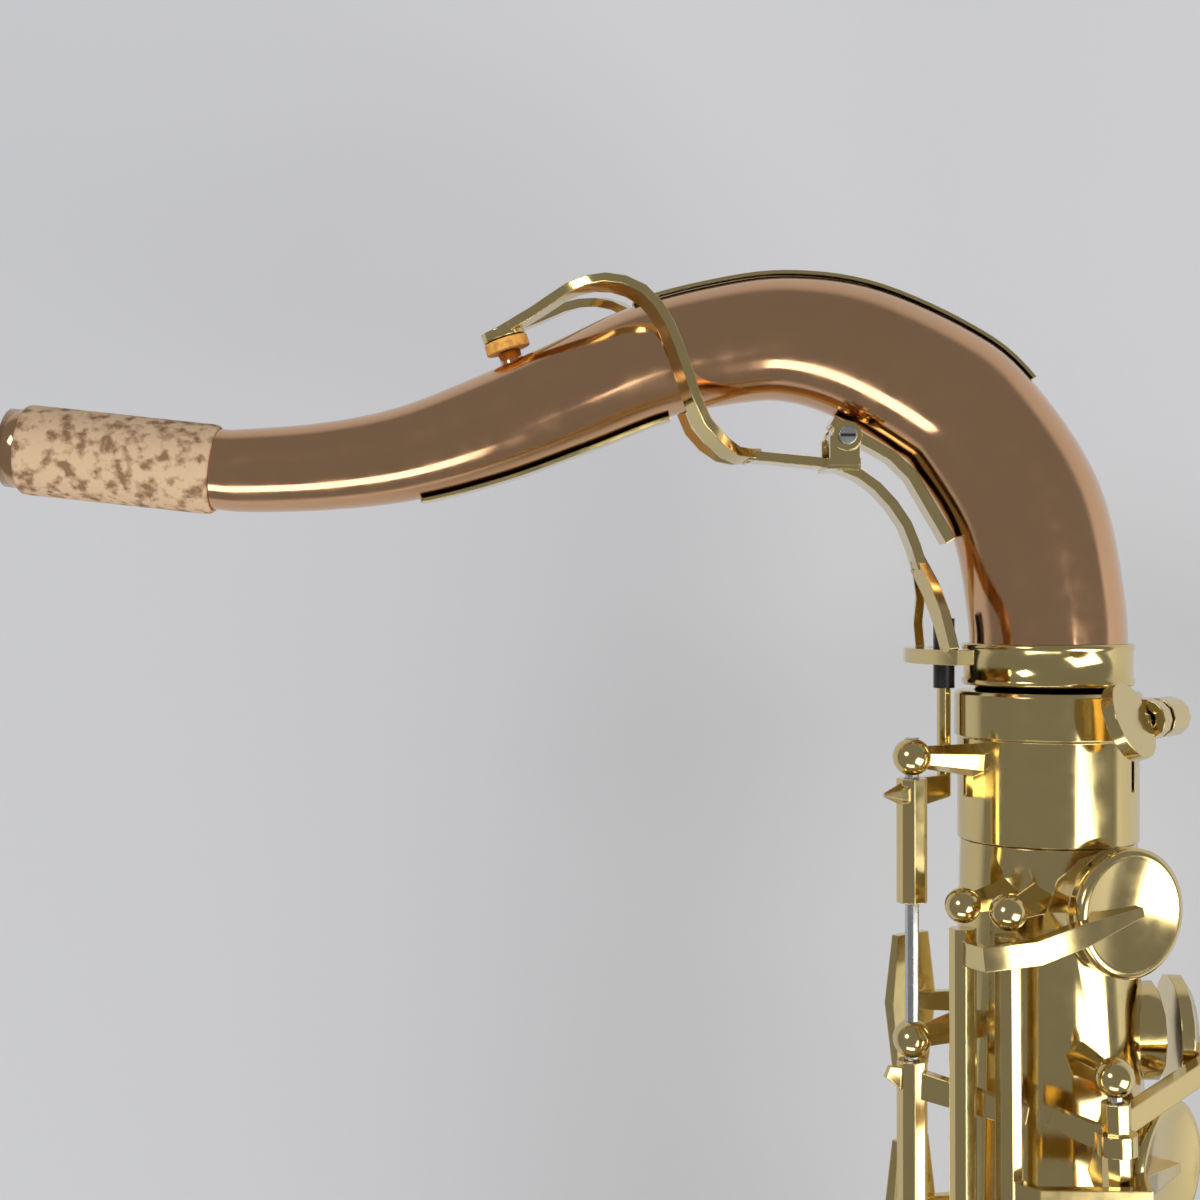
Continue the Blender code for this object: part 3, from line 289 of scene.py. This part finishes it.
def tube(name, rows, like, wall=0.0):
    """A round tube along rows of x, y and radius, as a mesh."""
    curve = bpy.data.curves.new(name, "CURVE")
    curve.dimensions = "3D"
    curve.bevel_depth = 0.001
    curve.bevel_resolution = 22
    spline = curve.splines.new("POLY")
    spline.points.add(len(rows) - 1)
    for control, row in zip(spline.points, rows):
        control.co = (*place(row.x, row.y, 0.0), 1.0)
        control.radius = row.z
    drawn = bpy.data.objects.new(name, curve)
    bpy.context.scene.collection.objects.link(drawn)
    bpy.context.view_layer.update()
    depsgraph = bpy.context.evaluated_depsgraph_get()
    mesh = bpy.data.meshes.new_from_object(drawn.evaluated_get(depsgraph))
    bpy.data.objects.remove(drawn)
    mesh.shade_smooth()
    made = bpy.data.objects.new(name, mesh)
    bpy.context.scene.collection.objects.link(made)
    if wall:
        shell = made.modifiers.new("wall", "SOLIDIFY")
        shell.thickness = wall
        shell.offset = -1.0
    return dress(made, name, like)


neck = tube("neck_tube_drawn", fine_line(NECK_LINE, STEPS), "neck_tube", NECK_WALL)
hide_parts("neck_tube")
print("neck tube has", len(neck.data.vertices), "corners")

# %% [markdown]
# Two thin brass strips are soldered along the neck, one over its back and one under it, to stiffen
# it. Each is a flat bar swept along the same curve, just off the tube's skin.

# %% The strips along the neck
STRIP_SECTION = ((0.1, -3.0), (0.1, 3.0), (0.8, 2.8), (0.8, -2.8))


def strip(name, rows, side, like):
    """A flat bar six millimetres wide along the neck's skin, over it (1) or under it (-1)."""
    bm = bmesh.new()
    rings = []
    for index, row in enumerate(rows):
        before = rows[max(index - 1, 0)]
        after = rows[min(index + 1, len(rows) - 1)]
        run = Vector((after.x - before.x, after.y - before.y)).normalized()
        out = Vector((-run.y, run.x)) * side
        ring = []
        for rise, across in STRIP_SECTION:
            reach = row.z + rise
            ring.append(bm.verts.new(place(row.x + out.x * reach, row.y + out.y * reach, across)))
        rings.append(ring)
    for ring, following in zip(rings, rings[1:]):
        for corner in range(4):
            other = (corner + 1) % 4
            bm.faces.new((ring[corner], ring[other], following[other], following[corner]))
    bm.faces.new(rings[0])
    bm.faces.new(rings[-1])
    bmesh.ops.recalc_face_normals(bm, faces=bm.faces)
    mesh = bpy.data.meshes.new(name)
    bm.to_mesh(mesh)
    bm.free()
    smooth(mesh)
    made = bpy.data.objects.new(name, mesh)
    bpy.context.scene.collection.objects.link(made)
    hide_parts(like)
    return dress(made, name, like)


fine_rows = fine_line(NECK_LINE, STEPS)
strip("top_strip", fine_rows[8 * STEPS:13 * STEPS + 1], 1, "neck_top_brace")
strip("under_strip", fine_rows[5 * STEPS:8 * STEPS + 1], -1, "neck_under_brace")
print("two strips along the neck")

# %% [markdown]
# The octave key's pad closes on a small pip that stands on the neck: a short pipe.

# %% The octave pip
PAD_TOP = Vector((-97.5, 62.9, 0.0))
PAD_AXIS = Vector((-0.30, 0.95, 0.0)).normalized()
PIP_RADIUS = 2.05
PIP_WALL = 0.0007
pip_rows = [PAD_TOP - PAD_AXIS * 6.9, PAD_TOP - PAD_AXIS * 2.2]
pip_rows = [Vector((row.x, row.y, PIP_RADIUS)) for row in pip_rows]
pip = tube("octave_pip", pip_rows, "neck_tube", PIP_WALL)
print("pip made")

# %% [markdown]
# The cork is a sleeve glued round the end of the neck, with its edges sanded round. The collar is
# turned brass with a small bead at each edge. Both are turned shapes: an outline swept round an axis
# by a Screw modifier.

# %% Turned pieces
def turned(name, outline, base, axis, like):
    """Sweep (radius, height) points in millimetres round an axis of the upright instrument."""
    mesh = bpy.data.meshes.new(name)
    corners = [(radius / 1000, 0.0, height / 1000) for radius, height in outline]
    mesh.from_pydata(corners, [(i, (i + 1) % len(corners)) for i in range(len(corners))], [])
    made = bpy.data.objects.new(name, mesh)
    bpy.context.scene.collection.objects.link(made)
    spin = Vector((0.0, 0.0, 1.0)).rotation_difference(LYING.to_3x3() @ Vector(axis).normalized())
    made.matrix_world = Matrix.Translation(place(*base)) @ spin.to_matrix().to_4x4()
    screw = made.modifiers.new("turn", "SCREW")
    screw.steps = 96
    screw.render_steps = 96
    screw.use_merge_vertices = True
    screw.merge_threshold = 0.00001
    screw.use_smooth_shade = True
    return dress(made, name, like)


tip = Vector((-186.7, 43.6, 0.0))
along = Vector((18.7, -2.0, 0.0)).normalized()
cork = turned(
    "neck_cork_turned",
    (
        (7.3, 3.0), (7.75, 3.0), (8.0, 3.4), (8.1, 4.2),
        (8.1, 36.0), (8.0, 37.0), (7.7, 37.5), (7.3, 37.5),
    ),
    tip, along, "neck_cork",
)
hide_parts("neck_cork")
collar = turned(
    "neck_collar_turned",
    (
        (14.25, 8.4), (14.9, 8.45), (15.15, 8.1), (15.15, 7.4), (14.85, 7.1), (14.85, 2.4),
        (15.15, 2.1), (15.15, 1.4), (14.9, 1.05), (12.75, 1.0), (12.75, -19.2), (11.85, -19.2),
        (11.85, 1.9), (14.2, 1.9),
    ),
    (0, 0, 0), (0, 1, 0), "neck_collar",
)
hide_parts("neck_collar")
print("turned the cork and the collar")

# %% [markdown]
# The octave key's pivot screw ends in a slotted head, as in the photograph: a steel disc, and on it
# a thin black bar of painted shade that stands for the dark of its slot, which isn't cut.

# %% The slotted screw head
def disc(name, centre, axis, radius, depth, like, size=None):
    """A short cylinder, or a bar where a size is given, centred on a point and turned to an axis."""
    bm = bmesh.new()
    if size is None:
        bmesh.ops.create_cone(
            bm, cap_ends=True, segments=40, radius1=radius, radius2=radius, depth=depth
        )
    else:
        bmesh.ops.create_cube(bm, size=1.0, matrix=Matrix.Diagonal((*size, 1.0)))
    mesh = bpy.data.meshes.new(name)
    bm.to_mesh(mesh)
    bm.free()
    smooth(mesh)
    made = bpy.data.objects.new(name, mesh)
    bpy.context.scene.collection.objects.link(made)
    spin = Vector((0.0, 0.0, 1.0)).rotation_difference(LYING.to_3x3() @ Vector(axis))
    made.matrix_world = Matrix.Translation(place(*centre)) @ spin.to_matrix().to_4x4()
    return dress(made, name, like)


pivot = (-36.9, 45.2)
disc("pivot_screw_head", (*pivot, 7.1), (0, 0, 1), 0.0016, 0.0006, "neck_key_screw")
# No slot is cut in the head: this black bar is painted shade lying where the slot's shade would be.
slot_shade_size = (0.0026, 0.0005, 0.0002)
slot_shade_place = (*pivot, 7.32)
slot_shade_bar = disc("pivot_screw_slot_shade", slot_shade_place, (0, 0, 1), 0, 0, "octave_pin_sleeve", slot_shade_size)
# The black plastic finish here is painted shade for the slot, not a part made of black plastic.
slot_shade_bar.data.materials[0] = finishes["black_plastic"]
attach(slot_shade_bar, "neck")
print("screw head made")

# %% [markdown]
# The rods turn between round-headed posts. Their heads are true balls, which a polished surface
# shows at once, so each gets a finely divided sphere.

# %% Ball heads on the posts
POST_LINES = (
    ((-26.6, -10.9, 12.2), (-26.6, -148.0, 12.8), (-10.9, -59.5, -148.0), 3.3),
    ((-19.9, -34.8, 22.0), (-20.5, -330.0, 27.5), (-34.8, -200.0), 3.0),
    ((-13.3, -35.2, 26.0), (-12.8, -330.0, 31.5), (-35.2, -196.0, -316.0), 3.1),
    ((4.0, -62.2, 27.0), (7.5, -240.0, 30.8), (-62.2, -118.0, -182.0, -240.0), 3.3),
    ((7.4, -272.0, 33.0), (8.4, -484.0, 38.0), (-272.0, -320.0, -428.0, -484.0), 3.3),
    ((-4.0, -42.0, -25.5), (-4.4, -165.0, -29.0), (-42.0, -75.0, -117.0, -165.0), 2.8),
)
balls = 0
for top, bottom, heights, radius in POST_LINES:
    for height in heights:
        share = (height - top[1]) / (bottom[1] - top[1])
        centre = Vector(top).lerp(Vector(bottom), share)
        bm = bmesh.new()
        bmesh.ops.create_uvsphere(bm, u_segments=32, v_segments=16, radius=radius / 1000)
        mesh = bpy.data.meshes.new("post_ball")
        bm.to_mesh(mesh)
        bm.free()
        mesh.shade_smooth()
        ball = bpy.data.objects.new("post_ball", mesh)
        bpy.context.scene.collection.objects.link(ball)
        ball.location = place(*centre)
        balls += 1
        like = "neck_receiver" if height == -10.9 else "body_tube"
        dress(ball, "post_ball_" + str(balls), like)
print(balls, "ball heads")

# %% [markdown]
# The two key cups nearest the neck are shown closely. A cup is a spun dish with a raised rim, and
# under it shows the edge of its tan leather pad, squeezed between the cup and the tone hole.

# %% Cups and pads of the two top keys
BODY_TOP_RADIUS = 14.5
BODY_TAPER = 0.02675
TONE_HOLE_RISE = 2.6
PAD_GAP = 0.35
finishes["leather"] = dull("Pad leather", (0.55, 0.36, 0.2), (0.38, 0.22, 0.1), 300.0, 0.7, 0.3)
for name, height, angle, radius, thick in (
    ("key_high_fs", -36.6, 66.0, 10.9, 3.6),
    ("key_high_e", -80.8, 44.0, 11.4, 3.6),
):
    turn = math.radians(angle)
    out = Vector((math.cos(turn), 0.0, math.sin(turn)))
    reach = BODY_TOP_RADIUS - BODY_TAPER * height + TONE_HOLE_RISE + PAD_GAP
    spot = out * reach + Vector((0.0, height, 0.0))
    edge = radius + 0.12
    turned(
        name + "_cup",
        (
            (0.01, thick + 0.1), (edge * 0.8, thick + 0.1), (edge * 0.86, thick + 0.45),
            (edge * 0.94, thick + 0.5), (edge, thick), (edge, 0.9), (0.01, 0.9),
        ),
        spot, out, name,
    )
    pad = turned(
        name + "_pad",
        ((0.01, 0.85), (radius - 0.3, 0.85), (radius - 0.1, 0.4), (radius - 0.4, -0.2), (0.01, -0.2)),
        spot, out, name,
    )
    pad.data.materials[0] = finishes["leather"]
print("two cups with their pads")

# %% [markdown]
# The instrument lies on a plain pale surface, seen from straight above. The surface is matt, so it
# takes the soft shadows without showing a reflection.

# %% Floor
bpy.ops.mesh.primitive_plane_add(size=60.0, location=(0.0, 0.0, 0.0))
floor = bpy.context.object
floor.name = "pale_table"
paper = bpy.data.materials.new("Pale table")
paper.use_nodes = True
coating = paper.node_tree.nodes["Principled BSDF"]
coating.inputs["Base Color"].default_value = (0.62, 0.62, 0.63, 1.0)
coating.inputs["Roughness"].default_value = 0.8
floor.data.materials.append(paper)
print("floor made")

# %% [markdown]
# Polished metal shows the room it is in. A dim ceiling gives the dark bands on the tubes, and a large
# window-like light from the lower right gives the bright streaks and the soft shadows to the upper
# left. Only reflections see the dim room: the table and the background get a paler one.

# %% Light and world
PALE_ROOM = 0.56
DIM_ROOM = 0.26


def window(name, spot, aim, size, power):
    """A rectangular lamp at a spot, turned to the point it is aimed at."""
    lamp = bpy.data.lights.new(name, "AREA")
    lamp.shape = "RECTANGLE"
    lamp.size = size[0]
    lamp.size_y = size[1]
    lamp.energy = power
    made = bpy.data.objects.new(name, lamp)
    bpy.context.scene.collection.objects.link(made)
    made.location = spot
    made.rotation_euler = (Vector(aim) - Vector(spot)).to_track_quat("-Z", "Y").to_euler()
    return made


target = place(-60, 0, 0)
window("window_right", (1.1, -0.3, 1.0), target, (0.9, 1.2), 15.0)
window("window_low", (-0.2, -1.1, 1.1), target, (1.2, 0.5), 6.0)
window("skylight", (-0.9, 0.9, 1.5), target, (0.5, 0.5), 5.0)
world = bpy.data.worlds.new("room")
world.use_nodes = True
sky = world.node_tree.nodes["Background"]
sky.inputs["Color"].default_value = (0.92, 0.93, 0.96, 1.0)
rays = world.node_tree.nodes.new("ShaderNodeLightPath")
dim = world.node_tree.nodes.new("ShaderNodeMath")
dim.operation = "MULTIPLY_ADD"
dim.inputs[1].default_value = DIM_ROOM - PALE_ROOM
dim.inputs[2].default_value = PALE_ROOM
world.node_tree.links.new(rays.outputs["Is Glossy Ray"], dim.inputs[0])
world.node_tree.links.new(dim.outputs["Value"], sky.inputs["Strength"])
bpy.context.scene.world = world
print("three windows and a dim room")

# %% [markdown]
# The photograph looks straight down on the player's right side of the neck, square to the
# instrument, from about thirty centimetres above its axis.

# %% Camera
lens = bpy.data.cameras.new("photo_camera")
lens.sensor_width = 36.0
lens.lens = 51.0
lens.clip_start = 0.01
camera = bpy.data.objects.new("photo_camera", lens)
bpy.context.scene.collection.objects.link(camera)
camera.matrix_world = Matrix.Translation(place(-80.5, 16.2, 306.0)) @ LYING.to_3x3().to_4x4()
scene = bpy.context.scene
scene.camera = camera
scene.render.resolution_x = 1200
scene.render.resolution_y = 1200
scene.view_settings.view_transform = "Standard"
print("camera at", [round(value, 3) for value in camera.location])
